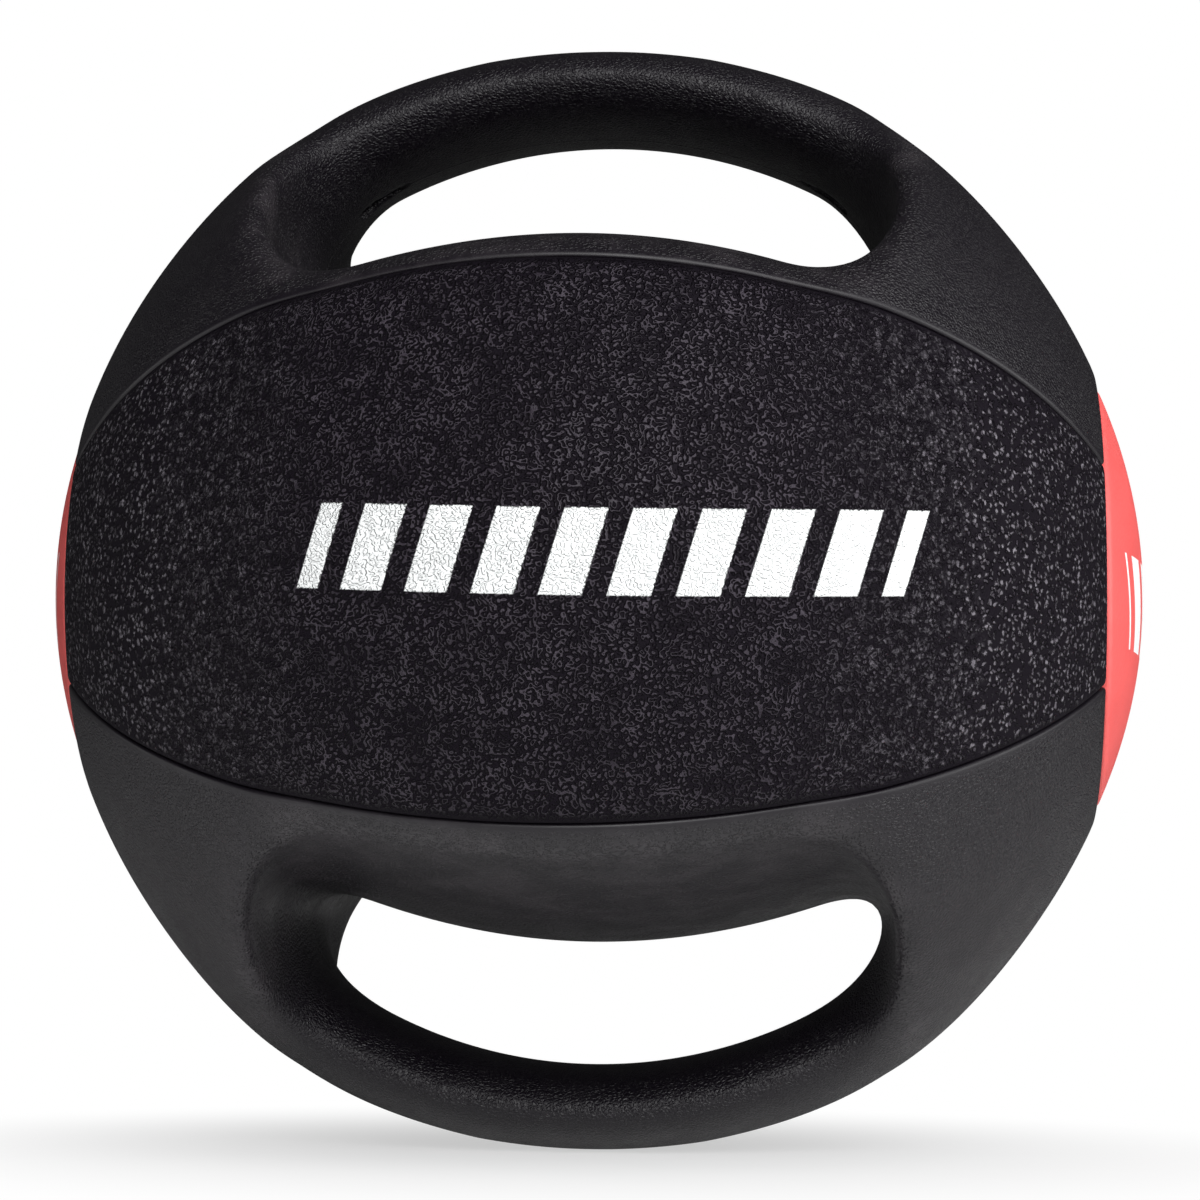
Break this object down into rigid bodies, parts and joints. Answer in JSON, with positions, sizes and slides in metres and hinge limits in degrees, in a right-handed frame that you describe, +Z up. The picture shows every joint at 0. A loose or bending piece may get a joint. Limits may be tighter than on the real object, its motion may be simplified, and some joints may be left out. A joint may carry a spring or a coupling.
{
  "type": "dual-grip medicine ball",
  "caption": "Black textured rubber medicine ball with an integral hand grip over an opening on two opposite sides and a red disc let into each end.",
  "frame": {"origin": "centre of the ball", "axes": "+Z up through the upper grip, +X through the right end disc, -Y through the front panel"},
  "size_m": [0.2788, 0.2781, 0.2818],
  "materials": {
    "cover_rubber": "satin",
    "disc_rubber": "satin",
    "core_plastic": "satin",
    "carcass_rubber": "matte",
    "yarn": "matte",
    "bladder_rubber": "satin",
    "valve_rubber": "satin"
  },
  "bodies": {
    "root": {"front_panel": "cover_rubber", "rear_panel": "cover_rubber", "upper_handle": "cover_rubber", "lower_handle": "cover_rubber", "left_end_disc": "disc_rubber", "right_end_disc": "disc_rubber", "upper_handle_core": "core_plastic", "lower_handle_core": "core_plastic", "carcass_front_half": "carcass_rubber", "carcass_rear_half": "carcass_rubber", "yarn_winding": "yarn", "air_bladder": "bladder_rubber", "valve_housing": "valve_rubber", "valve_plug": "bladder_rubber"}
  },
  "joints": []
}
